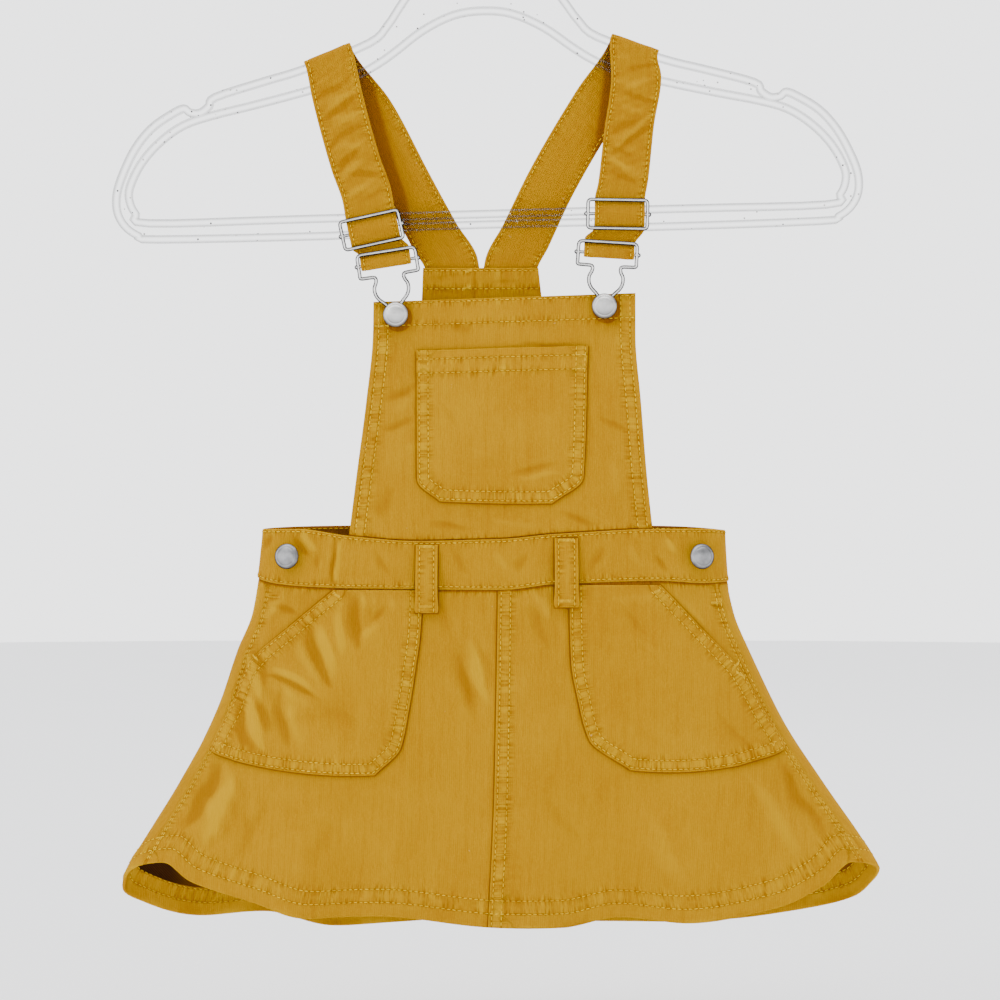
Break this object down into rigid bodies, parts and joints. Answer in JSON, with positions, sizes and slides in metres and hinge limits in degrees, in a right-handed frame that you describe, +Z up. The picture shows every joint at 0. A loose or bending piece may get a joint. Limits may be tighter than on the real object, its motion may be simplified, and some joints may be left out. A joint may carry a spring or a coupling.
{
  "type": "pinafore dress on a clothes hanger",
  "caption": "Toddler's corduroy pinafore dress with bib, chest and hip patch pockets and buckled shoulder straps, hung on a clear plastic hanger.",
  "frame": {"origin": "inside of the hanger hook's crown, where the rail carries it", "axes": "+Z up along the hanging garment, -Y towards the viewer of the dress's front, +X to that viewer's right"},
  "size_m": [0.3838, 0.0702, 0.5469],
  "materials": {
    "corduroy": "fine-wale cotton corduroy, mustard yellow, soft nap",
    "satin_nickel": "satin nickel plate",
    "clear_plastic": "clear moulded plastic with sparse flecks"
  },
  "bodies": {
    "root": {"hanger": "clear_plastic", "waistband_front": "corduroy", "waistband_back": "corduroy", "skirt_front_left": "corduroy", "skirt_front_right": "corduroy", "skirt_back": "corduroy", "bib_front": "corduroy", "bib_back": "corduroy", "yoke_facing": "corduroy", "chest_pocket": "corduroy", "hip_pocket_left": "corduroy", "hip_pocket_right": "corduroy", "belt_loop_left": "corduroy", "belt_loop_right": "corduroy", "strap_left": "corduroy", "strap_right": "corduroy", "slider_left": "satin_nickel", "slider_right": "satin_nickel", "bib_hook_left": "satin_nickel", "bib_hook_right": "satin_nickel", "bib_button_left": "satin_nickel", "bib_button_right": "satin_nickel", "waist_button_left": "satin_nickel", "waist_button_right": "satin_nickel"}
  },
  "joints": []
}
